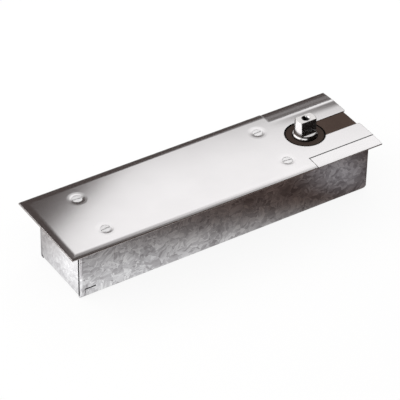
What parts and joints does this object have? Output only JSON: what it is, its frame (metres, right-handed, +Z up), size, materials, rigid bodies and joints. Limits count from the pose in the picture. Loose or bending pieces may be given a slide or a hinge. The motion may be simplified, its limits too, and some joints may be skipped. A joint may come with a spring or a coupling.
{
  "type": "floor spring",
  "caption": "Double-action floor spring: cam and piston closer in a folded steel cement box, with a flatted spindle through a keyholed cover plate.",
  "frame": {"origin": "under the middle of the cover plate, on the underside of the cement box", "axes": "+X along the box towards the spindle end, +Y to the rear long side, +Z up out of the floor"},
  "size_m": [0.362, 0.105, 0.0843],
  "materials": {
    "galvanised_steel": "hot-dip galvanised with spangle",
    "zinc_plated_steel": "bright zinc plated",
    "painted_cast_iron": "black paint over a sand cast skin",
    "black_steel": "black oxide",
    "gasket_paper": "pressed fibre",
    "forged_steel": "ground and polished",
    "hardened_steel": "ground",
    "machined_iron": "turned",
    "seal_rubber": "moulded",
    "brass": "turned",
    "copper": "soft copper",
    "spring_steel": "oiled",
    "stainless_steel": "fine satin, close to bright",
    "stainless_screws": "bright turned",
    "dark_trim": "dark brown, satin"
  },
  "bodies": {
    "housing": {"cement_box": "galvanised_steel", "anchor_nuts": "galvanised_steel", "clamp_washers": "zinc_plated_steel", "clamp_screws": "zinc_plated_steel", "levelling_screws": "zinc_plated_steel", "closer_body": "painted_cast_iron", "bearing_cover": "painted_cast_iron", "bearing_cover_screws": "black_steel", "cover_gasket": "gasket_paper", "closing_spring": "spring_steel", "spring_seat": "hardened_steel", "end_plug": "machined_iron", "end_plug_seal": "seal_rubber", "lower_bearing": "hardened_steel", "thrust_washer": "hardened_steel", "upper_bearing": "hardened_steel", "spindle_seal": "seal_rubber", "filler_plug": "zinc_plated_steel", "filler_washer": "copper", "gallery_plug": "zinc_plated_steel", "cover_plate": "stainless_steel", "front_corner_strip": "stainless_steel", "rear_corner_strip": "stainless_steel", "slot_filler": "dark_trim", "dust_cap": "dark_trim", "cover_screws": "stainless_screws"},
    "spindle": {"spindle": "forged_steel", "cam_disc": "hardened_steel", "cam_key": "hardened_steel", "cam_retaining_ring": "black_steel"},
    "piston": {"piston": "machined_iron", "piston_ring": "seal_rubber", "check_valve_ball": "hardened_steel", "check_valve_retainer": "brass", "roller_pin": "hardened_steel"},
    "roller": {"roller": "hardened_steel"},
    "closing_valve": {"closing_valve_screw": "brass", "closing_valve_seal": "seal_rubber"},
    "latching_valve": {"latching_valve_screw": "brass", "latching_valve_seal": "seal_rubber"}
  },
  "joints": [
    {"name": "spindle_turn", "type": "hinge", "parent": "housing", "child": "spindle", "pos_m": [0.122, 0, 0.05], "axis": [0, 0, 1], "range_deg": [0, 130], "stiffness_Nm_per_rad": 15},
    {"name": "piston_slide", "type": "slide", "parent": "housing", "child": "piston", "axis": [-1, 0, 0], "range_m": [0, 0.0121], "deforming": ["closing_spring"]},
    {"name": "roller_spin", "type": "hinge", "parent": "piston", "child": "roller", "pos_m": [0.1, 0, 0.031], "axis": [0, 0, 1], "continuous": true},
    {"name": "closing_valve_turn", "type": "hinge", "parent": "housing", "child": "closing_valve", "pos_m": [-0.06, 0.0225, 0.045], "axis": [0, 0, 1], "range_deg": [-180, 360]},
    {"name": "latching_valve_turn", "type": "hinge", "parent": "housing", "child": "latching_valve", "pos_m": [-0.03, 0.0225, 0.045], "axis": [0, 0, 1], "range_deg": [-180, 360]}
  ],
  "couplings": [
    {"joint": "piston_slide", "follows": "spindle_turn", "m_per_rad": 0.0052888}
  ]
}
